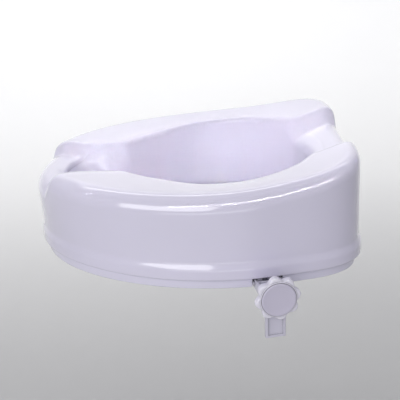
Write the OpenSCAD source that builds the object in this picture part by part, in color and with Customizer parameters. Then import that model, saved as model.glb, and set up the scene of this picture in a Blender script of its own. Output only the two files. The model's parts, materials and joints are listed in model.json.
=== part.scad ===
// Raised toilet seat: a hollow moulded seat that stands on the rim of a toilet bowl
// and is held to it by two screw clamps, one on each side.
// +Z is up, the front is at -Y, and z = 0 is the plane of the seat's bottom lip.
// "left" is the left of a person who sits on it and looks to the front: the +X side.

/* [Seat] */
// Length of the seat from front to rear
seat_length = 400; // [390:1:410]
// Widest width of the seat
seat_width = 363; // [354:1:372]
// How far the widest place lies behind the middle of the length
widest_y = 45; // [38:1:48]
// Roundness of the rear corners: more is squarer
rear_squareness = 4.3; // [3:0.1:4.8]
// Height of the rim at the front and middle
rim_height = 114; // [106:1:118]
// How much higher the rim stands at its rear corners
rear_rise = 30; // [24:1:36]
// Radius of the outer top edge at the front
front_round = 21; // [16:1:22]
// Radius of the outer top edge at the rear
rear_round = 18.5; // [16:0.5:22]
// Wall thickness of the moulding
wall = 4; // [3.5:0.1:4.5]
// How far the wall's foot is drawn in at the front
front_tuck = 3; // [1:0.5:4]

/* [Opening] */
// Half width of the opening at the top of its wall
opening_half_width = 122; // [114:1:124]
// Reach of the opening forward of the widest place
opening_front = 162; // [154:1:168]
// Reach of the opening behind the widest place
opening_rear = 106; // [98:1:110]
// Roundness of the opening's front part: less is more pointed
opening_front_power = 1.54; // [1.46:0.02:1.7]
// How far the channel of the front recess runs out past the opening
channel_reach = 45; // [30:1:48]
// How far the bottom of the splash wall is drawn in at the front
front_slant = 24; // [10:1:32]
// How far the splash wall reaches below the lip
splash_drop = 14; // [8:1:20]

/* [Front and rear recesses] */
// Depth of the recess in the front of the rim
front_recess_depth = 15; // [8:1:18]
// Half width of the front recess, at half its depth
front_recess_half_width = 48; // [44:1:60]
// Depth of the recess in the rear of the rim
rear_recess_depth = 18; // [12:1:26]
// Half width of the rear recess, at half its depth
rear_recess_half_width = 64; // [54:1:80]

/* [Lip and base] */
// Height of the lip below the seat's wall
lip_height = 13.5; // [12.5:0.5:14.5]
// How far the lip is set in from the wall
lip_inset = 4.5; // [4:0.5:5]
// How far the wall flares out above the lip
flare = 3.5; // [2:0.5:4]
// Thickness of the base's floor
floor_t = 3; // [2.5:0.5:3.5]
// How far the rubber pads stand below the lip
pad_drop = 2; // [1.5:0.5:3]

/* [Clamps] */
// Polar position of the clamps around the seat, from the widest place
clamp_polar = 10; // [9:1:13]
// Width of the sliding arm
arm_w = 32; // [30:1:33]
// Distance from the lip to the outer face of the clamp leg
leg_reach = 34; // [33:0.5:36]
// Width of the clamp leg
leg_w = 24; // [20:1:26]
// How far the clamp leg hangs below the lip
leg_drop = 51; // [46:1:58]
// Height of the clamp bolt's axis above the lip's bottom
bolt_z = 4.25; // [4.25:0.25:4.5]
// Radius of the star knob over its lobes
knob_r = 27; // [24:0.5:29]
// Number of lobes on the star knob
knob_lobes = 8; // [6:1:9]
// Radius of the knob's cap
cap_r = 20.5; // [17:0.5:21]

/* [Hidden] */
$fn = 64;

LEFT = 1;
RIGHT = -1;

stations = 96;
station_angles = [for (i = [0 : stations - 1]) i * 360 / stations];

// The rim
inner_round = 7;
rear_inner_round = 18;
rim_dish = 3;
flare_z = 25;
flare_top_z = 36;
front_flare_share = 0.5;
tuck_end_z = 100;
splash_taper = 8;
channel_edge = [0.913, 0.994];
ramp_power = 0.5;
front_edge_w = 15;
rear_edge_w = 26;
front_recess_spread = 0.35;
front_recess_spread_y = -142;
front_recess_end = -115;
front_recess_start = -155;
rear_recess_end = 53;
rear_recess_start = 123;
rise_start = -120;
rise_power = 3.4;
outline_front_power = 2;
opening_rear_power = 2.1;

// Steps of the shell's section
wall_steps = 8;
wall_top_z = 63.5;
corner_turns = [0 : 15 : 90];
inner_turns = [25, 50, 70, 90];
under_turns = [60, 30, 0];
top_steps = 8;
under_steps = 4;
splash_steps = [0.12, 0.35, 0.65, 1];
splash_back_steps = [0.65, 0.35, 0];
under_wall_z = 50;
ledge_z = 28;

// How far a cutting solid runs past the face that it cuts
over = 1;

// The base
lip_wall = 3.5;
upstand_h = 8;
cut_clear = 0.2;
pad_inset = 16;
pad_w = 20;
pad_spans = [[-72, -22], [42, 76], [104, 138], [202, 252]];

// The clamp's guide, with local x outward from the lip
slide_gap = 0.3;
guide_wall = 5.7;
guide_inner_end = -52;
guide_outer_end = -9;
guide_roof_z = 11.5;
guide_top_z = 14;
flange_w = 9;
flange_top_z = 6;
groove_z = 3.7;
groove_h = 3.6;
groove_depth = 1.8;
notch_clear = 2.2;
notch_half_w = arm_w / 2 + notch_clear;
notch_l = 30;
nut_block_x = -22;
nut_block_l = 12;
nut_block_z = -1.8;
nut_block_w = 22;
nut_x = nut_block_x + 3;
screw_xs = [-45, -17];
screw_y = arm_w / 2 + slide_gap + guide_wall + 5;
screw_r = 1.9;
screw_head_r = 3.6;
screw_head_h = 1.6;
screw_l = 12;
screw_boss_r = 4.6;
screw_slot_w = 0.9;
screw_slot_l = 4;
screw_slot_depth = 0.9;

// The sliding bracket
arm_bottom_z = -1.5;
arm_top_z = 11;
arm_inner_end = -31;
cheek_t = 3;
bridge_t = 4;
runner_w = 1.7;
runner_h = 3;
runner_outer_end = 3;
rib_t = 1.6;
rib_xs = [9, 15, 21];
rib_z = 8;
plate_t = 6;
plate_r = arm_w / 2 + 1;
panel_depth = 1.5;
panel_border = 3;
leg_pad_h = 30;
leg_pad_base = 3;
leg_pad_inset = 2;
leg_pad_rise = 3;
leg_rib_h = 1.2;
leg_rib_w = 2;
leg_rib_pitch = 5;

// The bolt, its nut and washer, and the knob
bolt_r = 3;
bolt_fit = 0.05;
bolt_way = 0.4;
bolt_tip_x = -28;
nut_across = 10;
nut_corners = nut_across * 2 / sqrt(3);
nut_t = 5;
bolt_head_t = 4;
washer_r = 7.5;
washer_t = 1.6;
clip_r = 5.5;
clip_t = 1;
clip_gap = 0.3;
clip_mouth = 4;
groove_r = 2.3;
knob_hub_r = 11;
knob_hub_l = 2.4;
star_t = 9;
cap_t = 2.5;
cap_bevel = 0.8;
lobe_turn = 9;
lobe_fullness = 0.7;
star_points = 144;
knob_valley_r = knob_r - 4.5;
plate_inner_x = leg_reach - plate_t;
clip_x = plate_inner_x - clip_gap - clip_t;
washer_x = leg_reach;
hub_x = washer_x + washer_t;
star_x = hub_x + knob_hub_l;
cap_x = star_x + star_t;

// A smooth step from 0 at a to 1 at b
function ramp(a, b, t) =
    let (u = min(1, max(0, (t - a) / (b - a))))
    u * u * (3 - 2 * u);

// A smooth step from 0 to 1 that is centred on a place and has a width
function step_at(centre, width, t) = ramp(centre - width / 2, centre + width / 2, t);

// Radius of a superellipse with different reaches to the front and the rear
function egg_radius(angle, half_width, front, rear, power) =
    let (reach = sin(angle) > 0 ? rear : front)
    pow(pow(abs(cos(angle)) / half_width, power) + pow(abs(sin(angle)) / reach, power), -1 / power);

// Outline of the seat's wall, as a radius around the widest place
function outline(angle) =
    egg_radius(angle, seat_width / 2, seat_length / 2 + widest_y, seat_length / 2 - widest_y,
               outline_front_power + rear_squareness * pow(max(0, sin(angle)), 2));

// Outline of the opening, drawn in by a distance all round and by a slant at the front
function opening_at(angle, inset, slant) =
    egg_radius(angle, opening_half_width - inset, opening_front - inset - slant,
               opening_rear - inset,
               2 + (opening_front_power - 2) * ramp(0, 0.7, -sin(angle))
                 + (opening_rear_power - 2) * ramp(0, 0.7, sin(angle)));

// 1 in the channel that joins the opening and the front recess, 0 away from it
function in_channel(angle) = ramp(channel_edge[0], channel_edge[1], -sin(angle));

// Outline of the opening at the top and at the bottom of the splash wall
function opening(angle) = opening_at(angle, 0, 0) + channel_reach * in_channel(angle);
function opening_bottom(angle) = opening_at(angle, splash_taper, front_slant);

// Radius of the inner top edge, which is larger at the rear
function inner_round_at(angle) =
    inner_round + (rear_inner_round - inner_round) * ramp(0.3, 0.9, sin(angle));

// 0 at the sides and the rear, 1 at the front end
function frontness(angle) = ramp(0.3, 0.95, -sin(angle));

// Outline of the lip, which is set in from the wall
function lip_outline(angle) = outline(angle) - lip_inset - front_tuck * frontness(angle);

// A point at a radius from the widest place
function place(angle, r) = [r * cos(angle), widest_y + r * sin(angle)];

// Half width of the front recess, which spreads towards the front
function front_recess_at(y) =
    front_recess_half_width + front_recess_spread * max(0, front_recess_spread_y - y);

// Height of the rim's top surface over a point of the plan
function rim_top(p) =
    rim_height
    + rear_rise * pow(max(0, p[1] - rise_start) / (seat_length / 2 - rise_start), rise_power)
    - front_recess_depth
      * (1 - step_at(front_recess_at(p[1]), front_edge_w, abs(p[0])))
      * (1 - ramp(front_recess_start, front_recess_end, p[1]))
    - rear_recess_depth
      * (1 - step_at(rear_recess_half_width, rear_edge_w, abs(p[0])))
      * ramp(rear_recess_end, rear_recess_start, p[1]);

// Radius of the outer top edge
function edge_round(angle) = front_round + (rear_round - front_round) * ramp(0.2, 0.9, sin(angle));

// How far the wall's foot stands out, less so at the front, where it is also drawn in
function foot_at(angle, z) =
    flare * (1 - ramp(flare_z, flare_top_z, z)) * (1 - (1 - front_flare_share) * frontness(angle))
    - front_tuck * frontness(angle) * (1 - ramp(flare_z, tuck_end_z, z));

// A point of the shell: its radius and its height over the rim's top surface there
function on_rim(angle, r, drop) =
    let (p = place(angle, r))
    [p[0], p[1], rim_top(p) - drop];

// A point of the shell at a fixed height
function at_z(angle, r, z) =
    let (p = place(angle, r))
    [p[0], p[1], z];

// A point of the splash wall, t of the way down, set out by a distance
function on_splash(angle, t, outset) =
    let (top = opening(angle),
         r = top + (opening_bottom(angle) - top) * pow(t, 1 + (ramp_power - 1) * in_channel(angle)),
         z = rim_top(place(angle, top)) - rim_dish - inner_round_at(angle)
             - outset / 2 * frontness(angle))
    at_z(angle, r + outset, z + (floor_t - z) * t);

// The shell's section at one station, as a closed loop: up the wall, over the rim,
// down the splash wall, and back along the hollow underside
function section(angle) =
    let (out = outline(angle),
         foot = lip_outline(angle),
         low = opening_bottom(angle),
         edge = edge_round(angle),
         under_edge = edge - wall,
         inner = inner_round_at(angle),
         rim_in = opening(angle) + inner,
         across = rim_in - out + edge)
    concat(
        [for (k = [0 : wall_steps])
            let (z = lip_height + (wall_top_z - lip_height) * pow(k / wall_steps, 1.5))
            at_z(angle, out + foot_at(angle, z), z)],
        [for (turn = corner_turns)
            on_rim(angle, out - edge * (1 - cos(turn)), edge * (1 - sin(turn)))],
        [for (k = [1 : top_steps])
            on_rim(angle, out - edge + across * k / top_steps,
                   rim_dish * pow(k / top_steps, 1.5))],
        [for (turn = inner_turns)
            on_rim(angle, rim_in - inner * sin(turn), rim_dish + inner * (1 - cos(turn)))],
        [for (t = splash_steps) on_splash(angle, t, 0)],
        [at_z(angle, low, -splash_drop)],
        [at_z(angle, low + wall, -splash_drop)],
        [at_z(angle, low + wall, floor_t)],
        [for (t = splash_back_steps) on_splash(angle, t, wall)],
        [for (k = [under_steps : -1 : 0])
            on_rim(angle, out - edge + across * k / under_steps,
                   rim_dish * pow(k / under_steps, 1.5) + wall)],
        [for (turn = under_turns)
            on_rim(angle, out - wall - under_edge * (1 - cos(turn)), edge - under_edge * sin(turn))],
        [at_z(angle, out - wall, under_wall_z)],
        [at_z(angle, foot, ledge_z)],
        [at_z(angle, foot, lip_height)]
    );

// A closed ring-shaped solid from the sections of all stations
module loft(sections) {
    rings = len(sections);
    sides = len(sections[0]);
    points = [for (s = sections) each s];
    faces = [for (i = [0 : rings - 1], j = [0 : sides - 1])
        let (a = i * sides + j,
             b = i * sides + (j + 1) % sides,
             c = ((i + 1) % rings) * sides + (j + 1) % sides,
             d = ((i + 1) % rings) * sides + j)
        each [[a, b, c], [a, c, d]]];
    polyhedron(points = points, faces = faces, convexity = 10);
}

// An upright solid inside the lip's outline, set in by a distance
module lip_block(inset, z, h) {
    translate([0, 0, z])
        linear_extrude(h)
            polygon([for (a = station_angles) place(a, lip_outline(a) - inset)]);
}

// An upright solid inside the splash wall's bottom, set out by a distance
module opening_block(outset, z, h) {
    translate([0, 0, z])
        linear_extrude(h)
            polygon([for (a = station_angles) place(a, opening_bottom(a) + outset)]);
}

// Direction that the lip faces at a polar position
function outward(angle) =
    let (p = place(angle - 1, outline(angle - 1)),
         q = place(angle + 1, outline(angle + 1)))
    atan2(p[0] - q[0], q[1] - p[1]);

clamp_place = place(clamp_polar, lip_outline(clamp_polar));
clamp_turn = outward(clamp_polar);

// Puts a clamp part in place: local x points outward from the lip
module at_clamp(side) {
    if (side == LEFT)
        translate([clamp_place[0], clamp_place[1], 0]) rotate([0, 0, clamp_turn]) children();
    else
        mirror([1, 0, 0])
            translate([clamp_place[0], clamp_place[1], 0]) rotate([0, 0, clamp_turn]) children();
}

// A round bar along the bolt's axis
module bar(r, x, l) {
    translate([x, 0, bolt_z]) rotate([0, 90, 0]) cylinder(r = r, h = l);
}

// A hexagonal bar along the bolt's axis, with flats at its top and bottom
module hex_bar(across, x, l) {
    translate([x, 0, bolt_z])
        rotate([0, 90, 0])
            rotate([0, 0, 30])
                cylinder(r = across / sqrt(3), h = l, $fn = 6);
}

// A box that is centred across the arm
module block(x, l, w, z, h) {
    translate([x, -w / 2, z]) cube([l, w, h]);
}

module seat_shell() {
    color("#e6e2f0")
        loft([for (a = station_angles) section(a)]);
}

// Holes through the base for one clamp: the notch in the lip, the guide's slot, the screws
module base_cuts(side) {
    slot_w = arm_w + 2 * (slide_gap + guide_wall) + 2 * slide_gap;
    at_clamp(side) {
        block(guide_outer_end - 2, notch_l, 2 * notch_half_w, -over, lip_height + over);
        block(guide_inner_end - slide_gap, guide_outer_end - guide_inner_end + 2 * slide_gap,
              slot_w, -over, lip_height + over);
        for (x = screw_xs, y = [-screw_y, screw_y]) {
            translate([x, y, -over]) cylinder(r = screw_r + cut_clear, h = floor_t + 2 * over);
            translate([x, y, -over]) cylinder(r = screw_head_r + cut_clear, h = over + screw_head_h);
        }
    }
}

module base_frame() {
    color("#dcd8e6")
        difference() {
            union() {
                difference() {
                    lip_block(0, 0, lip_height + upstand_h);
                    lip_block(lip_wall, -over, lip_height + upstand_h + 2 * over);
                }
                difference() {
                    lip_block(1, 0, floor_t);
                    opening_block(wall, -over, floor_t + 2 * over);
                }
            }
            base_cuts(LEFT);
            base_cuts(RIGHT);
        }
}

// One rubber pad that follows the lip between two polar positions
module base_pad(span) {
    steps = 10;
    angles = [for (k = [0 : steps]) span[0] + (span[1] - span[0]) * k / steps];
    outer = [for (a = angles) place(a, outline(a) - pad_inset)];
    inner = [for (k = [steps : -1 : 0]) place(angles[k], outline(angles[k]) - pad_inset - pad_w)];
    translate([0, 0, -pad_drop])
        linear_extrude(pad_drop)
            polygon(concat(outer, inner));
}

module base_pads() {
    color("#8d8d92")
        for (span = pad_spans)
            base_pad(span);
}

module clamp_guide(side) {
    inner_w = arm_w + 2 * slide_gap;
    outer_w = inner_w + 2 * guide_wall;
    guide_l = guide_outer_end - guide_inner_end;
    color("#cfcbd8")
        at_clamp(side)
            difference() {
                union() {
                    block(guide_inner_end, guide_l, outer_w, 0, guide_top_z);
                    block(guide_inner_end, guide_l, outer_w + 2 * flange_w, floor_t,
                          flange_top_z - floor_t);
                    for (x = screw_xs, y = [-screw_y, screw_y])
                        translate([x, y, floor_t]) cylinder(r = screw_boss_r, h = guide_top_z - floor_t);
                }
                // The arm's channel
                block(guide_inner_end - over, guide_l + 2 * over, inner_w, -over, guide_roof_z + over);
                // Grooves for the arm's runners
                block(guide_inner_end - over, guide_l + 2 * over, inner_w + 2 * groove_depth,
                      groove_z, groove_h);
                for (x = screw_xs, y = [-screw_y, screw_y])
                    translate([x, y, floor_t - over]) cylinder(r = screw_r, h = screw_l);
                nut_room();
            }
    color("#cfcbd8")
        at_clamp(side)
            difference() {
                block(nut_block_x, nut_block_l, nut_block_w, nut_block_z, guide_top_z - nut_block_z);
                nut_room();
            }
}

// The nut's pocket, open at the top, and the bolt's way through
module nut_room() {
    half = (nut_corners + cut_clear) / 2;
    low = -(nut_across + cut_clear) / 2;
    translate([nut_x, 0, bolt_z])
        rotate([90, 0, 90])
            linear_extrude(nut_t)
                polygon([[-half, guide_top_z], [-half, 0], [-half / 2, low],
                         [half / 2, low], [half, 0], [half, guide_top_z]]);
    bar(bolt_r + bolt_way, nut_block_x - over, nut_block_l + 2 * over);
}

module guide_screw() {
    difference() {
        union() {
            cylinder(r = screw_head_r, h = screw_head_h);
            translate([0, 0, screw_head_h]) cylinder(r = screw_r, h = screw_l - screw_head_h);
        }
        for (turn = [0, 90])
            rotate([0, 0, turn])
                translate([-screw_slot_l / 2, -screw_slot_w / 2, -over])
                    cube([screw_slot_l, screw_slot_w, over + screw_slot_depth]);
    }
}

module guide_screws(side) {
    color("#9a9a9e")
        at_clamp(side)
            for (x = screw_xs, y = [-screw_y, screw_y])
                translate([x, y, 0]) guide_screw();
}

module clamp_nut(side) {
    color("#b8b8bc")
        at_clamp(side)
            difference() {
                hex_bar(nut_across, nut_x, nut_t);
                bar(bolt_r + bolt_fit, nut_x - over, nut_t + 2 * over);
            }
}

module clamp_bracket(side) {
    color("#dedae8")
        at_clamp(side)
            difference() {
                union() {
                    // Head plate round the bolt, and the leg below it
                    bar(plate_r, plate_inner_x, plate_t);
                    block(plate_inner_x, plate_t, arm_w, arm_bottom_z, arm_top_z - arm_bottom_z);
                    block(plate_inner_x, plate_t, leg_w, -leg_drop, leg_drop);
                    // Two cheeks with runners on their outer sides
                    for (turn = [0, 1])
                        mirror([0, turn, 0]) {
                            translate([arm_inner_end, arm_w / 2 - cheek_t, arm_bottom_z])
                                cube([plate_inner_x - arm_inner_end + 1, cheek_t, arm_top_z - arm_bottom_z]);
                            translate([arm_inner_end, arm_w / 2 - 1, groove_z + slide_gap])
                                cube([runner_outer_end - arm_inner_end, runner_w + 1, runner_h]);
                        }
                    // Cross pieces: the end bridge and the stiffening ribs above the bolt
                    block(arm_inner_end, bridge_t, arm_w - 1, rib_z, arm_top_z - rib_z);
                    for (x = rib_xs)
                        block(x, rib_t, arm_w - 1, rib_z, arm_top_z - rib_z);
                }
                bar(bolt_r + bolt_fit, plate_inner_x - over, plate_t + 2 * over);
                // Sunk panel on the leg's outer face
                block(leg_reach - panel_depth, panel_depth + over, leg_w - 2 * panel_border,
                      -leg_drop + panel_border, leg_drop - plate_r);
            }
}

module leg_pad(side) {
    pad_leg_w = leg_w - 2 * leg_pad_inset;
    pad_x = plate_inner_x - leg_pad_base;
    pad_z = leg_pad_rise - leg_drop;
    color("#8d8d92")
        at_clamp(side) {
            block(pad_x, leg_pad_base, pad_leg_w, pad_z, leg_pad_h);
            for (z = [pad_z + leg_rib_w : leg_rib_pitch : pad_z + leg_pad_h - leg_rib_w])
                block(pad_x - leg_rib_h, leg_rib_h + 0.5, pad_leg_w, z, leg_rib_w);
        }
}

module washer(side) {
    color("#b8b8bc")
        at_clamp(side)
            difference() {
                bar(washer_r, washer_x, washer_t);
                bar(bolt_r + bolt_fit, washer_x - over, washer_t + 2 * over);
            }
}

// An E-shaped clip in the bolt's groove, open on one side
module retaining_clip(side) {
    color("#b8b8bc")
        at_clamp(side)
            difference() {
                bar(clip_r, clip_x, clip_t);
                bar(groove_r, clip_x - over, clip_t + 2 * over);
                block(clip_x - over, clip_t + 2 * over, clip_mouth, bolt_z, clip_r + over);
            }
}

module clamp_bolt(side) {
    color("#b8b8bc")
        at_clamp(side)
            difference() {
                union() {
                    bar(bolt_r, bolt_tip_x, cap_x - bolt_head_t - bolt_tip_x);
                    hex_bar(nut_across, cap_x - bolt_head_t, bolt_head_t);
                }
                difference() {
                    bar(bolt_r + over, clip_x, clip_t);
                    bar(groove_r, clip_x - over, clip_t + 2 * over);
                }
            }
}

// Radius of the star's outline at an angle from one of its lobes
function star_radius(angle) =
    knob_valley_r
    + (knob_r - knob_valley_r) * pow((1 + cos(knob_lobes * angle)) / 2, lobe_fullness);

// The star, which lies across the bolt's axis
module star() {
    rotate([90, 0, 90])
        linear_extrude(star_t)
            polygon([for (i = [0 : star_points - 1])
                let (a = i * 360 / star_points)
                star_radius(a) * [cos(a), sin(a)]]);
}

module star_knob(side) {
    color("#e0dcea")
        at_clamp(side)
            difference() {
                union() {
                    bar(knob_hub_r, hub_x, knob_hub_l + 1);
                    translate([star_x, 0, bolt_z])
                        rotate([lobe_turn, 0, 0])
                            star();
                }
                bar(bolt_r, hub_x - over, star_t + knob_hub_l);
                hex_bar(nut_across, cap_x - bolt_head_t, bolt_head_t + over);
            }
}

module knob_cap(side) {
    color("#d4d0de")
        at_clamp(side)
            union() {
                bar(cap_r, cap_x, cap_t - cap_bevel);
                translate([cap_x + cap_t - cap_bevel, 0, bolt_z])
                    rotate([0, 90, 0]) cylinder(r1 = cap_r, r2 = cap_r - cap_bevel, h = cap_bevel);
            }
}

seat_shell();
base_frame();
base_pads();
clamp_guide(LEFT);  // clamp_guide_left
clamp_guide(RIGHT);  // clamp_guide_right
guide_screws(LEFT);  // guide_screws_left
guide_screws(RIGHT);  // guide_screws_right
clamp_nut(LEFT);  // clamp_nut_left
clamp_nut(RIGHT);  // clamp_nut_right
clamp_bracket(LEFT);  // clamp_bracket_left
clamp_bracket(RIGHT);  // clamp_bracket_right
leg_pad(LEFT);  // leg_pad_left
leg_pad(RIGHT);  // leg_pad_right
washer(LEFT);  // washer_left
washer(RIGHT);  // washer_right
retaining_clip(LEFT);  // retaining_clip_left
retaining_clip(RIGHT);  // retaining_clip_right
clamp_bolt(LEFT);  // clamp_bolt_left
clamp_bolt(RIGHT);  // clamp_bolt_right
star_knob(LEFT);  // star_knob_left
star_knob(RIGHT);  // star_knob_right
knob_cap(LEFT);  // knob_cap_left
knob_cap(RIGHT);  // knob_cap_right
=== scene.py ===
"""Looks of the raised toilet seat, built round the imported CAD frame.

The shell, the base, the sliding brackets, the star knobs and their caps are rebuilt here
with fine meshes on the same formulas as the CAD. The pads, the clamp guides and the steel
fittings keep their CAD meshes and get their own materials. Metres, +Z up, front at -Y.
"""
import json
import math

import bmesh
import bpy
import numpy as np
from mathutils import Matrix, Vector

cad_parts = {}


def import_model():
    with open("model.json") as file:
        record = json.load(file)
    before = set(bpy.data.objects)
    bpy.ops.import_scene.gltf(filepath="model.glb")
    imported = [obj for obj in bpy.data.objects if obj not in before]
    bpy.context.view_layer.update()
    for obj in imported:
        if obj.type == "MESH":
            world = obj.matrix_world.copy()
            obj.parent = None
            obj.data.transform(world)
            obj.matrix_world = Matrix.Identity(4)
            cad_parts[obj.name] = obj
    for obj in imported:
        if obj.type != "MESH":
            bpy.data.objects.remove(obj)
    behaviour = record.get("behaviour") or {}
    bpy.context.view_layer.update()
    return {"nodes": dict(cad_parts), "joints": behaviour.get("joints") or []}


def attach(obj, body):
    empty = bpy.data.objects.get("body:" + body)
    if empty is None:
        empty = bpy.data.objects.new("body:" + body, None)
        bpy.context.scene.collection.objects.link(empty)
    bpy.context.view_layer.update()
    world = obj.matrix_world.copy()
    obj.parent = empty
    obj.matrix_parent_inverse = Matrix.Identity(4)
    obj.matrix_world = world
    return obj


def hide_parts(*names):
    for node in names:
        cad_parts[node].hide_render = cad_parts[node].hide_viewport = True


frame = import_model()

MM = 0.001

# The seat, in millimetres, as in the CAD
SEAT_LENGTH = 400.0
SEAT_WIDTH = 363.0
WIDEST_Y = 45.0
REAR_SQUARENESS = 4.3
RIM_HEIGHT = 114.0
REAR_RISE = 30.0
RISE_START = -120.0
RISE_POWER = 3.4
FRONT_ROUND = 21.0
REAR_ROUND = 18.5
WALL = 4.0
FRONT_TUCK = 3.0
INNER_ROUND = 7.0
REAR_INNER_ROUND = 18.0
RIM_DISH = 3.0
DISH_POWER = 1.5
FLARE = 3.5
FLARE_Z = 25.0
FLARE_TOP_Z = 36.0
FRONT_FLARE_SHARE = 0.5
TUCK_END_Z = 100.0

# The opening and its splash wall
OPENING_HALF_WIDTH = 122.0
OPENING_FRONT = 162.0
OPENING_REAR = 106.0
OPENING_FRONT_POWER = 1.54
OPENING_REAR_POWER = 2.1
CHANNEL_REACH = 45.0
CHANNEL_EDGE = (0.913, 0.994)
FRONT_SLANT = 24.0
RAMP_POWER = 0.5
SPLASH_TAPER = 8.0
SPLASH_DROP = 14.0

# The recesses in the rim
FRONT_RECESS_DEPTH = 15.0
FRONT_RECESS_HALF_WIDTH = 48.0
FRONT_RECESS_SPREAD = 0.35
FRONT_RECESS_SPREAD_Y = -142.0
FRONT_EDGE_W = 15.0
FRONT_RECESS_START = -155.0
FRONT_RECESS_END = -115.0
REAR_RECESS_DEPTH = 18.0
REAR_RECESS_HALF_WIDTH = 64.0
REAR_EDGE_W = 26.0
REAR_RECESS_START = 123.0
REAR_RECESS_END = 53.0

# The lip, the floor and the hollow wall behind them
LIP_HEIGHT = 13.5
LIP_INSET = 4.5
LIP_WALL = 3.5
LIP_TOP = LIP_HEIGHT + 8.0
LIP_EDGE = 1.2
FLOOR_T = 3.0
FOOT_ROUND = 1.6
WALL_TOP = 63.5
INNER_WALL_LOW = 50.0
FOOT_INNER_TOP = 28.0

# Points round the seat, and how far a cutter runs past the face that it cuts
STATIONS = 480
CUT_OVER = 1.0

# The clamps, in millimetres, with local x outward from the lip and z up from its bottom.
# SINK is how far one part of a piece runs into the next.
SINK = 1.0
ARM_W = 32.0
CHEEK_T = 3.0
ARM_INNER_END = -31.0
ARM_BOTTOM_Z = -1.5
ARM_TOP_Z = 11.0
BRIDGE_T = 4.0
RUNNER_Z = 4.0
RUNNER_H = 3.0
RUNNER_W = 1.7
RUNNER_START = ARM_INNER_END + 0.3
RUNNER_END = 3.0
RIB_XS = (9.0, 15.0, 21.0)
RIB_T = 1.6
RIB_Z = 8.0
PLATE_X = 28.0
PLATE_T = 6.0
PLATE_R = 17.0
PLATE_EDGE = 1.2
LEG_W = 24.0
LEG_DROP = 51.0
PANEL_DEPTH = 1.5
PANEL_BORDER = 3.0
BOLT_Z = 4.25
BOLT_R = 3.0
BOLT_FIT = 0.05
HUB_X = 35.6
HUB_R = 11.0
STAR_X = 38.0
STAR_T = 9.0
STAR_R = 27.0
VALLEY_R = 22.5
LOBES = 8
LOBE_TURN = math.radians(9.0)
LOBE_FULLNESS = 0.7
STAR_EDGE = 2.4
HUB_EDGE = 0.6
CAP_X = STAR_X + STAR_T
CAP_T = 2.5
CAP_R = 20.5
CAP_EDGE = 1.5
CAP_DISH = 0.3
CAP_DISH_START = 2.8
CAP_DISH_IN = 3.6
COLLAR_R = 21.9
COLLAR_H = 1.0
COLLAR_SHOULDER = 0.6
COLLAR_INNER_H = 0.7
COLLAR_CROWN = 0.5
COLLAR_FIT = 0.15
GUIDE_X = (-52.3, -8.7)
SLOT_HALF_W = 22.6
NOTCH_HALF_W = 18.2
NOTCH_X = (-11.0, 19.0)
SCREW_XS = (-45.0, -17.0)
SCREW_Y = 27.0
SCREW_HEAD_R = 3.8
SCREW_SINK = 1.8
ROUND_STEPS = 6


# ---------------------------------------------------------------- shape formulas

def ramp(a, b, t):
    """A smooth step from 0 at a to 1 at b."""
    u = np.clip((t - a) / (b - a), 0.0, 1.0)
    return u * u * (3.0 - 2.0 * u)


def step_at(centre, width, t):
    """A smooth step that is centred on a place and has a width."""
    return ramp(centre - width / 2, centre + width / 2, t)


def egg_radius(angle, half_width, front, rear, power):
    """Radius of a superellipse with different reaches to the front and the rear."""
    reach = np.where(np.sin(angle) > 0, rear, front)
    across = np.abs(np.cos(angle) / half_width) ** power
    along = np.abs(np.sin(angle) / reach) ** power
    return (across + along) ** (-1.0 / power)


def frontness(angle):
    """0 at the sides and the rear, 1 at the front end."""
    return ramp(0.3, 0.95, -np.sin(angle))


def outline(angle):
    """Radius of the seat's wall round the widest place."""
    power = 2 + REAR_SQUARENESS * np.maximum(0, np.sin(angle)) ** 2
    return egg_radius(angle, SEAT_WIDTH / 2, SEAT_LENGTH / 2 + WIDEST_Y,
                      SEAT_LENGTH / 2 - WIDEST_Y, power)


def opening_at(angle, inset, slant):
    """Radius of the opening, drawn in all round and slanted at the front."""
    power = (2 + (OPENING_FRONT_POWER - 2) * ramp(0, 0.7, -np.sin(angle))
             + (OPENING_REAR_POWER - 2) * ramp(0, 0.7, np.sin(angle)))
    return egg_radius(angle, OPENING_HALF_WIDTH - inset, OPENING_FRONT - inset - slant,
                      OPENING_REAR - inset, power)


def opening(angle):
    """Radius of the opening's top edge, with a channel that runs out to the front recess."""
    return opening_at(angle, 0, 0) + CHANNEL_REACH * ramp(*CHANNEL_EDGE, -np.sin(angle))


def opening_bottom(angle):
    """Radius of the opening at the bottom of the splash wall."""
    return opening_at(angle, SPLASH_TAPER, FRONT_SLANT)


def inner_round_at(angle):
    """Radius of the inner top edge, which is larger at the rear."""
    return INNER_ROUND + (REAR_INNER_ROUND - INNER_ROUND) * ramp(0.3, 0.9, np.sin(angle))


def splash_share(angle, t):
    """How far in the splash wall has come when it has gone down by a share t."""
    return t ** (1 + (RAMP_POWER - 1) * ramp(*CHANNEL_EDGE, -np.sin(angle)))


def lip_outline(angle):
    """Radius of the lip, which is set in from the wall."""
    return outline(angle) - LIP_INSET - FRONT_TUCK * frontness(angle)


def rim_top(x, y):
    """Height of the rim's top surface over a point of the plan."""
    rise = (np.maximum(0, y - RISE_START) / (SEAT_LENGTH / 2 - RISE_START)) ** RISE_POWER
    half_width = (FRONT_RECESS_HALF_WIDTH
                  + FRONT_RECESS_SPREAD * np.maximum(0, FRONT_RECESS_SPREAD_Y - y))
    front = ((1 - step_at(half_width, FRONT_EDGE_W, np.abs(x)))
             * (1 - ramp(FRONT_RECESS_START, FRONT_RECESS_END, y)))
    rear = ((1 - step_at(REAR_RECESS_HALF_WIDTH, REAR_EDGE_W, np.abs(x)))
            * ramp(REAR_RECESS_END, REAR_RECESS_START, y))
    return RIM_HEIGHT + REAR_RISE * rise - FRONT_RECESS_DEPTH * front - REAR_RECESS_DEPTH * rear


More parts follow.
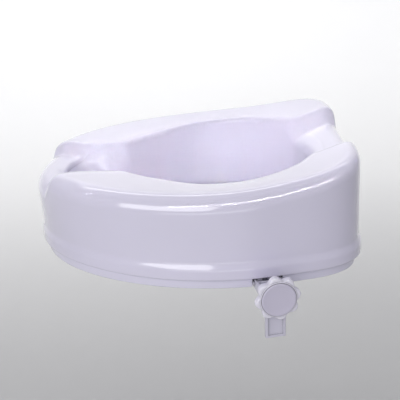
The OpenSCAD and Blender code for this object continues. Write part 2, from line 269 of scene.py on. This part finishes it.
def edge_round(angle):
    """Radius of the outer top edge."""
    return FRONT_ROUND + (REAR_ROUND - FRONT_ROUND) * ramp(0.2, 0.9, np.sin(angle))


def foot_at(angle, z):
    """How far the wall's foot stands out, or is drawn in at the front."""
    out = FLARE * (1 - ramp(FLARE_Z, FLARE_TOP_Z, z))
    out = out * (1 - (1 - FRONT_FLARE_SHARE) * frontness(angle))
    return out - FRONT_TUCK * frontness(angle) * (1 - ramp(FLARE_Z, TUCK_END_Z, z))


def place(angle, r):
    """A point of the plan at a radius from the widest place."""
    return r * np.cos(angle), WIDEST_Y + r * np.sin(angle)


# ---------------------------------------------------------------- mesh helpers

def mesh_object(name, points, faces, material):
    """A smooth-shaded object from points in millimetres."""
    mesh = bpy.data.meshes.new(name)
    mesh.from_pydata([tuple(float(c) * MM for c in p) for p in points], [], faces)
    mesh.validate()
    mesh.update()
    obj = bpy.data.objects.new(name, mesh)
    bpy.context.scene.collection.objects.link(obj)
    mesh.materials.append(material)
    mesh.shade_smooth()
    return obj


def smooth_by_angle(mesh):
    """Smooth shading, with sharp edges where faces meet at an angle."""
    mesh.shade_smooth()
    mesh.set_sharp_from_angle(angle=math.radians(35))


def closed_loft(rings):
    """Points and quad faces of rings that close on themselves, and on one another."""
    rings = np.array(rings)
    count, sides = rings.shape[:2]
    points = rings.reshape(-1, 3)
    faces = []
    for k in range(count):
        k2 = (k + 1) % count
        for i in range(sides):
            i2 = (i + 1) % sides
            faces.append((k * sides + i, k * sides + i2, k2 * sides + i2, k2 * sides + i))
    return points, faces


def ring(angles, r, z):
    """One ring of points at a radius and a height for each angle."""
    x, y = place(angles, r)
    return np.stack([x, y, np.broadcast_to(z, x.shape)], -1)


def rim_ring(angles, r, drop):
    """One ring of points under the rim's top surface."""
    x, y = place(angles, r)
    return np.stack([x, y, rim_top(x, y) - drop], -1)


def clamp_points(side, points):
    """Points of a clamp's own frame, in millimetres, moved to their place on the seat."""
    joint = next(j for j in frame["joints"] if j["name"] == "knob_turn_" + side)
    origin = np.array(joint["pos_m"]) / MM
    out = np.array(joint["axis"])
    along = np.array([-out[1], out[0], 0.0]) * (1 if side == "left" else -1)
    points = np.asarray(points, float)
    flat = origin[:2] + points[:, :1] * out[:2] + points[:, 1:2] * along[:2]
    return np.column_stack([flat, points[:, 2]])


def clamp_object(name, side, parts, material, bevel=0.0):
    """One object from closed parts given as (points, faces) in a clamp's own frame."""
    bm = bmesh.new()
    for points, faces in parts:
        verts = [bm.verts.new(p * MM) for p in clamp_points(side, points)]
        for face in faces:
            bm.faces.new([verts[i] for i in face])
    bmesh.ops.recalc_face_normals(bm, faces=bm.faces)
    if bevel:
        sharp = [e for e in bm.edges if e.calc_face_angle(0.0) > math.radians(30)]
        bmesh.ops.bevel(bm, geom=sharp, offset=bevel * MM, segments=3, profile=0.5,
                        affect="EDGES", clamp_overlap=True)
    mesh = bpy.data.meshes.new(name)
    bm.to_mesh(mesh)
    bm.free()
    obj = bpy.data.objects.new(name, mesh)
    bpy.context.scene.collection.objects.link(obj)
    mesh.materials.append(material)
    smooth_by_angle(mesh)
    return obj


def box_part(x, z, half_w, y=0.0):
    """A closed box over spans of x and z, centred across the arm at y."""
    points = [(px, y + py, pz) for px in x for py in (-half_w, half_w) for pz in z]
    faces = [(0, 1, 3, 2), (4, 6, 7, 5), (0, 4, 5, 1), (2, 3, 7, 6), (0, 2, 6, 4), (1, 5, 7, 3)]
    return points, faces


def turned_part(profile, radius_at=None, count=96, shift=0.0):
    """A closed solid round the bolt's axis from (x, radius) pairs, capped at both ends.

    radius_at(angle) gives an outline; a pair's radius is then how far it is drawn in."""
    angles = np.arange(count) * 2 * math.pi / count
    points = []
    for x, r in profile:
        radius = radius_at(angles) - r if radius_at else np.full(count, r)
        y = radius * np.cos(angles + shift)
        z = BOLT_Z + radius * np.sin(angles + shift)
        points += list(zip(np.full(count, x), y, z))
    faces = []
    for k in range(len(profile) - 1):
        for i in range(count):
            i2 = (i + 1) % count
            faces.append((k * count + i, k * count + i2,
                          (k + 1) * count + i2, (k + 1) * count + i))
    faces.append(tuple(range(count))[::-1])
    faces.append(tuple((len(profile) - 1) * count + i for i in range(count)))
    return points, faces


def tube_part(profile, count=96):
    """A closed ring-shaped solid round the bolt's axis from a closed loop of (x, radius)."""
    angles = np.arange(count) * 2 * math.pi / count
    points = []
    for x, r in profile:
        points += list(zip(np.full(count, x), r * np.cos(angles), BOLT_Z + r * np.sin(angles)))
    faces = []
    for k in range(len(profile)):
        k2 = (k + 1) % len(profile)
        for i in range(count):
            i2 = (i + 1) % count
            faces.append((k * count + i, k * count + i2, k2 * count + i2, k2 * count + i))
    return points, faces


def rounded(x0, r0, x1, r1, steps=ROUND_STEPS):
    """(x, r) pairs of a quarter round from (x0, r0) to (x1, r1), bulging outward in r first."""
    turns = np.linspace(0, math.pi / 2, steps + 1)
    return [(x0 + (x1 - x0) * math.sin(t), r1 + (r0 - r1) * math.cos(t)) for t in turns]


# ---------------------------------------------------------------- materials

def plastic(name, colour, roughness, mottle=0.02, grain=260.0, bump=0.02, coat=1.0):
    """Moulded glossy plastic: faint clouding, uneven gloss, a very fine skin and painted shade in
    narrow gaps.
    """
    mat = bpy.data.materials.new(name)
    mat.use_nodes = True
    nodes, links = mat.node_tree.nodes, mat.node_tree.links
    shader = nodes["Principled BSDF"]
    shader.inputs["IOR"].default_value = 1.5
    shader.inputs["Coat Weight"].default_value = coat
    shader.inputs["Coat Roughness"].default_value = 0.03
    shader.inputs["Subsurface Weight"].default_value = 0.06
    shader.inputs["Subsurface Radius"].default_value = (0.004, 0.004, 0.005)
    shader.inputs["Subsurface Scale"].default_value = 1.0
    place_node = nodes.new("ShaderNodeTexCoord")
    cloud = nodes.new("ShaderNodeTexNoise")
    cloud.inputs["Scale"].default_value = 9.0
    cloud.inputs["Detail"].default_value = 5.0
    tint = nodes.new("ShaderNodeValToRGB")
    tint.color_ramp.elements[0].position = 0.3
    tint.color_ramp.elements[0].color = (*[c * (1 - mottle) for c in colour], 1)
    tint.color_ramp.elements[1].position = 0.7
    tint.color_ramp.elements[1].color = (*[min(1, c * (1 + mottle)) for c in colour], 1)
    wear = nodes.new("ShaderNodeTexNoise")
    wear.inputs["Scale"].default_value = 30.0
    wear.inputs["Detail"].default_value = 4.0
    gloss = nodes.new("ShaderNodeMapRange")
    gloss.inputs["To Min"].default_value = roughness * 0.8
    gloss.inputs["To Max"].default_value = roughness * 1.25
    skin = nodes.new("ShaderNodeTexNoise")
    skin.inputs["Scale"].default_value = grain
    skin.inputs["Detail"].default_value = 2.0
    relief = nodes.new("ShaderNodeBump")
    relief.inputs["Strength"].default_value = bump
    relief.inputs["Distance"].default_value = 0.0005
    for texture in (cloud, wear, skin):
        links.new(place_node.outputs["Object"], texture.inputs["Vector"])
    links.new(cloud.outputs["Fac"], tint.inputs["Fac"])
    # Painted shade: the colour is darkened in narrow gaps and hollows, where shade falls
    painted_gap_shade = nodes.new("ShaderNodeAmbientOcclusion")
    painted_gap_shade.samples = 8
    painted_gap_shade.inputs["Distance"].default_value = 0.004
    links.new(tint.outputs["Color"], painted_gap_shade.inputs["Color"])
    links.new(painted_gap_shade.outputs["Color"], shader.inputs["Base Color"])
    links.new(wear.outputs["Fac"], gloss.inputs["Value"])
    links.new(gloss.outputs["Result"], shader.inputs["Roughness"])
    links.new(skin.outputs["Fac"], relief.inputs["Height"])
    links.new(relief.outputs["Normal"], shader.inputs["Normal"])
    return mat


def rubber(name):
    """Dark grey rubber with a dusty, pitted skin."""
    mat = plastic(name, (0.17, 0.17, 0.18), 0.7, mottle=0.15, grain=900.0, bump=0.5, coat=0.0)
    mat.node_tree.nodes["Principled BSDF"].inputs["Subsurface Weight"].default_value = 0.0
    return mat


def zinc(name):
    """Zinc-plated steel: bluish grey with a fine grain and dull patches."""
    mat = plastic(name, (0.56, 0.57, 0.59), 0.28, mottle=0.08, grain=1400.0, bump=0.25, coat=0.0)
    shader = mat.node_tree.nodes["Principled BSDF"]
    shader.inputs["Metallic"].default_value = 1.0
    shader.inputs["Subsurface Weight"].default_value = 0.0
    return mat


SHELL_PLASTIC = plastic("shell_plastic", (0.77, 0.74, 0.895), 0.13)
# The base is the shell's plastic painted a little lighter: painted light, standing in for light
# bounced up onto the lip
BASE_PLASTIC = plastic("base_plastic", (0.8, 0.775, 0.93), 0.2)
# The clamps' plastic is painted darker than the knobs': painted shade, standing in for the shade
# on the leg's sunk panel
CLAMP_PLASTIC = plastic("clamp_plastic", (0.66, 0.64, 0.755), 0.25, grain=500.0, bump=0.06,
                        coat=0.2)
KNOB_PLASTIC = plastic("knob_plastic", (0.88, 0.855, 0.97), 0.22, grain=500.0, bump=0.06, coat=0.2)
CAP_PLASTIC = plastic("cap_plastic", (0.66, 0.625, 0.765), 0.3, grain=700.0, bump=0.1, coat=0.1)
RUBBER = rubber("grip_rubber")
ZINC = zinc("zinc_plated_steel")


# ---------------------------------------------------------------- the seat

def seat_shell():
    """The hollow moulding: wall, rim, splash wall and its thin underside."""
    angles = np.arange(STATIONS) * 2 * math.pi / STATIONS
    out, hole, low = outline(angles), opening(angles), opening_bottom(angles)
    edge, foot, inner = edge_round(angles), lip_outline(angles), inner_round_at(angles)
    rim_in = hole + inner
    across = rim_in - out + edge
    rings = []
    # The foot's lower edge, then the wall
    for turn in np.radians([0, 30, 60]):
        r = out + foot_at(angles, LIP_HEIGHT) - FOOT_ROUND * (1 - math.sin(turn))
        rings.append(ring(angles, r, LIP_HEIGHT + FOOT_ROUND * (1 - math.cos(turn))))
    for z in np.linspace(LIP_HEIGHT + FOOT_ROUND, WALL_TOP, 40):
        rings.append(ring(angles, out + foot_at(angles, z), z))
    # Over the outer edge, across the rim and over the inner edge
    for turn in np.radians(np.linspace(0, 90, 19)):
        r = out - edge * (1 - math.cos(turn))
        rings.append(rim_ring(angles, r, edge * (1 - math.sin(turn))))
    for t in np.linspace(0, 1, 31)[1:]:
        rings.append(rim_ring(angles, out - edge + across * t, RIM_DISH * t ** DISH_POWER))
    for turn in np.radians(np.linspace(0, 90, 13)[1:]):
        rings.append(rim_ring(angles, rim_in - inner * math.sin(turn),
                              RIM_DISH + inner * (1 - math.cos(turn))))
    # Down the splash wall, round its bottom and up again
    last = rings[-1]
    for t in np.linspace(0, 1, 15)[1:]:
        x, y = place(angles, hole + (low - hole) * splash_share(angles, t))
        z = last[:, 2] + (FLOOR_T - last[:, 2]) * t
        rings.append(np.stack([x, y, z], -1))
    half = WALL / 2
    rings.append(ring(angles, low, half - SPLASH_DROP))
    for turn in np.radians(np.linspace(0, 180, 9)[1:-1]):
        rings.append(ring(angles, low + half - half * math.cos(turn),
                          half - SPLASH_DROP - half * math.sin(turn)))
    rings.append(ring(angles, low + WALL, half - SPLASH_DROP))
    rings.append(ring(angles, low + WALL, FLOOR_T))
    for t in (0.75, 0.5, 0.25, 0.0):
        x, y = place(angles, hole + (low - hole) * splash_share(angles, t) + WALL)
        z = last[:, 2] - half * frontness(angles) + (FLOOR_T - last[:, 2]) * t
        rings.append(np.stack([x, y, z], -1))
    # Along the hollow underside and down inside the wall
    for t in np.linspace(1, 0, 7):
        rings.append(rim_ring(angles, out - edge + across * t, RIM_DISH * t ** DISH_POWER + WALL))
    for turn in np.radians([60, 30, 0]):
        rings.append(rim_ring(angles, out - WALL - (edge - WALL) * (1 - math.cos(turn)),
                              edge - (edge - WALL) * math.sin(turn)))
    rings.append(ring(angles, out - WALL, INNER_WALL_LOW))
    rings.append(ring(angles, foot, FOOT_INNER_TOP))
    rings.append(ring(angles, foot, LIP_HEIGHT))
    points, faces = closed_loft(rings)
    return mesh_object("seat_moulding", points, [f[::-1] for f in faces], SHELL_PLASTIC)


def base_ring():
    """The lip and the floor as one closed ring, before the clamps' places are cut."""
    angles = np.arange(STATIONS) * 2 * math.pi / STATIONS
    lip, low = lip_outline(angles), opening_bottom(angles)
    rings = [ring(angles, lip, LIP_TOP)]
    for z in np.linspace(LIP_HEIGHT, LIP_EDGE, 6):
        rings.append(ring(angles, lip, z))
    for turn in np.radians([30, 60, 90]):
        r = lip - LIP_EDGE * (1 - math.cos(turn))
        rings.append(ring(angles, r, LIP_EDGE * (1 - math.sin(turn))))
    for t in np.linspace(0, 1, 5)[1:]:
        rings.append(ring(angles, (lip - LIP_EDGE) * (1 - t) + (low + WALL) * t, 0.0))
    rings.append(ring(angles, low + WALL, FLOOR_T))
    rings.append(ring(angles, lip - LIP_WALL, FLOOR_T))
    rings.append(ring(angles, lip - LIP_WALL, LIP_TOP))
    points, faces = closed_loft(rings)
    return mesh_object("base_moulding", points, faces, BASE_PLASTIC)


def screw_hole(x, y):
    """A closed round cutter below one screw's head."""
    count = 24
    angles = np.arange(count) * 2 * math.pi / count
    points = [(x + SCREW_HEAD_R * math.cos(a), y + SCREW_HEAD_R * math.sin(a), z)
              for z in (-CUT_OVER, SCREW_SINK) for a in angles]
    faces = [(i, (i + 1) % count, count + (i + 1) % count, count + i) for i in range(count)]
    faces += [tuple(range(count))[::-1], tuple(range(count, 2 * count))]
    return points, faces


def cutter(side):
    """The notch, the guide's slot and the screw holes of one clamp, as one object."""
    offset = 0.1  # keeps the two boxes' faces out of one plane
    parts = [box_part(NOTCH_X, (-CUT_OVER, LIP_HEIGHT), NOTCH_HALF_W),
             box_part(GUIDE_X, (-CUT_OVER - offset, LIP_HEIGHT + offset), SLOT_HALF_W)]
    parts += [screw_hole(x, y) for x in SCREW_XS for y in (-SCREW_Y, SCREW_Y)]
    return clamp_object("cut_" + side, side, parts, BASE_PLASTIC)


def apply_boolean(obj, other):
    """Cuts other out of obj and deletes other."""
    cut = obj.modifiers.new("cut", "BOOLEAN")
    cut.operation = "DIFFERENCE"
    cut.object = other
    cut.solver = "EXACT"
    cut.use_self = True
    depsgraph = bpy.context.evaluated_depsgraph_get()
    mesh = bpy.data.meshes.new_from_object(obj.evaluated_get(depsgraph))
    obj.modifiers.clear()
    old = obj.data
    obj.data = mesh
    mesh.name = old.name
    bpy.data.meshes.remove(old)
    bpy.data.objects.remove(other)


def base_frame():
    """The base with its notches, slots and screw holes."""
    obj = base_ring()
    for side in ("left", "right"):
        apply_boolean(obj, cutter(side))
    smooth_by_angle(obj.data)
    return obj


# ---------------------------------------------------------------- the clamps

def leg_part():
    """The closed hanging leg with a sunk panel in its outer face."""
    half, inner = LEG_W / 2, LEG_W / 2 - PANEL_BORDER
    face_x, top = PLATE_X + PLATE_T, -SINK
    loops = [(PLATE_X, half, -LEG_DROP, 0.0), (face_x, half, -LEG_DROP, 0.0),
             (face_x, inner, PANEL_BORDER - LEG_DROP, top),
             (face_x - PANEL_DEPTH, inner, PANEL_BORDER - LEG_DROP, top)]
    points = [(x, y, z) for x, w, low, high in loops
              for y, z in ((-w, low), (w, low), (w, high), (-w, high))]
    faces = [(4 * k + i, 4 * k + (i + 1) % 4, 4 * k + 4 + (i + 1) % 4, 4 * k + 4 + i)
             for k in range(3) for i in range(4)]
    return points, faces + [(3, 2, 1, 0), (12, 13, 14, 15)]


def bracket(side):
    """The sliding arm, its head plate and its leg."""
    face_x = PLATE_X + PLATE_T
    rib_half_w = ARM_W / 2 - SINK
    cheek_y = (ARM_W - CHEEK_T) / 2
    runner_half_w = (RUNNER_W + SINK) / 2
    runner_y = (ARM_W + RUNNER_W - SINK) / 2
    rib_z = (RIB_Z, ARM_TOP_Z)
    parts = [leg_part(),
             box_part((ARM_INNER_END, ARM_INNER_END + BRIDGE_T), rib_z, rib_half_w)]
    for sign in (-1, 1):
        parts.append(box_part((ARM_INNER_END, face_x - SINK), (ARM_BOTTOM_Z, ARM_TOP_Z),
                              CHEEK_T / 2, sign * cheek_y))
        parts.append(box_part((RUNNER_START, RUNNER_END), (RUNNER_Z, RUNNER_Z + RUNNER_H),
                              runner_half_w, sign * runner_y))
    for x in RIB_XS:
        parts.append(box_part((x, x + RIB_T), rib_z, rib_half_w))
    body = clamp_object("bracket_" + side, side, parts, CLAMP_PLASTIC, bevel=0.5)
    profile = (rounded(PLATE_X + PLATE_EDGE, PLATE_R, PLATE_X, PLATE_R - PLATE_EDGE)[::-1]
               + rounded(face_x - PLATE_EDGE, PLATE_R, face_x, PLATE_R - PLATE_EDGE)
               + [(face_x, BOLT_R + BOLT_FIT), (PLATE_X, BOLT_R + BOLT_FIT)])
    plate = clamp_object("bracket_plate_" + side, side, [tube_part(profile)], CLAMP_PLASTIC)
    return [body, plate]


def star_radius(angles):
    """Outline of the star knob."""
    lobe = (1 + np.cos(LOBES * angles)) / 2
    return VALLEY_R + (STAR_R - VALLEY_R) * lobe ** LOBE_FULLNESS


def star_knob(side):
    """The star with rounded edges, its hub and the collar round its cap."""
    back = rounded(STAR_X + STAR_EDGE, STAR_EDGE, STAR_X, 0.0)[::-1]
    front = rounded(CAP_X - STAR_EDGE, STAR_EDGE, CAP_X, 0.0)
    drawn_in = [(x, STAR_EDGE - r) for x, r in back + front]
    star = turned_part(drawn_in, star_radius, count=384, shift=LOBE_TURN)
    hub = turned_part([(HUB_X, HUB_R - HUB_EDGE), (HUB_X + HUB_EDGE, HUB_R),
                       (STAR_X + SINK / 2, HUB_R)])
    collar_low, collar_in = CAP_X - SINK / 2, CAP_R + COLLAR_FIT
    crown = rounded(CAP_X + COLLAR_SHOULDER, COLLAR_R,
                    CAP_X + COLLAR_H, CAP_R + COLLAR_CROWN, 4)[::-1]
    collar = tube_part([(collar_low, collar_in), (CAP_X + COLLAR_INNER_H, collar_in)] + crown
                       + [(collar_low, COLLAR_R)])
    return clamp_object("star_knob_body_" + side, side, [star, hub, collar], KNOB_PLASTIC)


def knob_cap(side):
    """The round cap with a rounded rim and a faintly dished face."""
    face_x = CAP_X + CAP_T
    rim = rounded(face_x - CAP_EDGE, CAP_R, face_x, CAP_R - CAP_EDGE)
    dish = [(face_x - CAP_DISH / 2, CAP_R - CAP_DISH_START),
            (face_x - CAP_DISH * 5 / 6, CAP_R - CAP_DISH_IN),
            (face_x - CAP_DISH, CAP_R / 2), (face_x - CAP_DISH, 1.0)]
    profile = [(CAP_X, CAP_R)] + rim + dish
    return clamp_object("cap_" + side, side, [turned_part(profile)], CAP_PLASTIC)


def dress_cad_nodes():
    """Gives the nodes that keep their CAD meshes their own materials."""
    looks = {"clamp_guide": CLAMP_PLASTIC, "guide_screws": ZINC, "clamp_nut": ZINC,
             "washer": ZINC, "retaining_clip": ZINC, "clamp_bolt": ZINC, "leg_pad": RUBBER,
             "base_pads": RUBBER}
    for name, obj in frame["nodes"].items():
        for start, material in looks.items():
            if name.startswith(start):
                for material_slot in obj.material_slots:
                    material_slot.material = material


# ---------------------------------------------------------------- stage, light, camera

def stage_material():
    """Pale paper with a faint grain and painted light: grey in front, white at the back."""
    mat = plastic("stage_paper", (0.8, 0.8, 0.79), 0.8, mottle=0.01, grain=700.0, bump=0.05,
                  coat=0.0)
    nodes, links = mat.node_tree.nodes, mat.node_tree.links
    shader = nodes["Principled BSDF"]
    shader.inputs["Subsurface Weight"].default_value = 0.0
    spot = nodes.new("ShaderNodeTexCoord")
    parts = nodes.new("ShaderNodeSeparateXYZ")
    # Painted light falloff: the base colour runs from grey in front to white at the back
    painted_light_falloff = nodes.new("ShaderNodeMapRange")
    painted_light_falloff.interpolation_type = "SMOOTHSTEP"
    painted_light_falloff.inputs["From Min"].default_value = 0.3
    painted_light_falloff.inputs["From Max"].default_value = -1.8
    painted_light_falloff.inputs["To Min"].default_value = 0.45
    painted_light_falloff.inputs["To Max"].default_value = 0.97
    links.new(spot.outputs["Object"], parts.inputs["Vector"])
    links.new(parts.outputs["X"], painted_light_falloff.inputs["Value"])
    links.new(painted_light_falloff.outputs["Result"], shader.inputs["Base Color"])
    return mat


def backdrop():
    """A floor that curves up into a wall behind the object, seen from +X."""
    floor_z, back_x, front_x, bend, top, half = -0.32, -2.2, 3.5, 1.2, 3.0, 4.0
    profile = [(front_x, floor_z), (back_x + bend, floor_z)]
    profile += [(back_x + bend - bend * math.sin(a), floor_z + bend * (1 - math.cos(a)))
                for a in np.linspace(0, math.pi / 2, 25)[1:]]
    profile.append((back_x, floor_z + top))
    points = [(x / MM, y / MM, z / MM) for x, z in profile for y in (-half, half)]
    faces = [(2 * i, 2 * i + 1, 2 * i + 3, 2 * i + 2) for i in range(len(profile) - 1)]
    return mesh_object("backdrop", points, faces, stage_material())


def area_light(name, place_at, target, size, power, spread=180.0):
    """A soft rectangular light that faces a target; a small spread makes it a beam."""
    data = bpy.data.lights.new(name, "AREA")
    data.shape = "RECTANGLE"
    data.size, data.size_y = size
    data.energy = power
    data.spread = math.radians(spread)
    obj = bpy.data.objects.new(name, data)
    bpy.context.scene.collection.objects.link(obj)
    obj.location = place_at
    obj.rotation_euler = (Vector(target) - Vector(place_at)).to_track_quat("-Z", "Y").to_euler()
    return obj


def world():
    """An even soft light from all round."""
    data = bpy.data.worlds.new("studio")
    data.use_nodes = True
    background = data.node_tree.nodes["Background"]
    background.inputs["Color"].default_value = (0.96, 0.96, 1.0, 1)
    background.inputs["Strength"].default_value = 0.42
    bpy.context.scene.world = data


def camera():
    """The main view: from the object's left and a little above, turned slightly."""
    azimuth, elevation, roll = math.radians(87.457), math.radians(20.933), math.radians(2.25)
    distance = 1.34466
    target = Vector((0.0, 0.0, 0.06))
    back = Vector((math.sin(azimuth) * math.cos(elevation),
                   -math.cos(azimuth) * math.cos(elevation), math.sin(elevation)))
    right = (-back).cross(Vector((0, 0, 1))).normalized()
    up = right.cross(-back)
    turn = Matrix.Rotation(-roll, 3, back)
    right, up = turn @ right, turn @ up
    data = bpy.data.cameras.new("camera")
    data.sensor_width = 36.0
    data.lens = 92.2752
    data.shift_x = 0.0176
    data.shift_y = -0.0285
    obj = bpy.data.objects.new("camera", data)
    bpy.context.scene.collection.objects.link(obj)
    basis = Matrix((right, up, back)).transposed().to_4x4()
    obj.matrix_world = Matrix.Translation(target + back * distance) @ basis
    bpy.context.scene.camera = obj


# ---------------------------------------------------------------- build

dress_cad_nodes()

shell = seat_shell()
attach(shell, "seat")
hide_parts("seat_shell")

base = base_frame()
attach(base, "seat")
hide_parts("base_frame")

for clamp in ("left", "right"):
    for piece in bracket(clamp):
        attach(piece, "bracket_" + clamp)
        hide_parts("clamp_bracket_" + clamp)
    knob = star_knob(clamp)
    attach(knob, "knob_" + clamp)
    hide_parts("star_knob_" + clamp)
    cap = knob_cap(clamp)
    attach(cap, "knob_" + clamp)
    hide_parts("knob_cap_" + clamp)

backdrop()
world()
area_light("key_top", (-0.3, -0.4, 1.9), (0, 0, 0.05), (1.6, 1.2), 1.3)
area_light("front_fill", (2.2, -1.3, 1.1), (0, 0, 0.05), (2.2, 1.2), 27)
area_light("low_fill", (1.7, -0.2, -0.1), (0, 0, 0.0), (1.6, 0.3), 1.8)
area_light("inner_beam", (1.15, 0.0, 0.68), (-0.1, 0.02, 0.075), (0.34, 0.06), 0.046, 6)
# Two thin tubes that show only as the double highlight on the glossy edges
for name, place_at in (("strip_low", (1.15, 0.25, 0.98)), ("strip_high", (1.06, 0.25, 1.05))):
    strip = area_light(name, place_at, (0, 0.1, 0.1), (1.9, 0.006), 5.0)
    strip.visible_diffuse = False
area_light("back_wash", (-1.2, 0, 2.2), (-2.2, 0, 0.8), (3.0, 0.8), 34)
camera()

bpy.context.scene.view_settings.view_transform = "Standard"
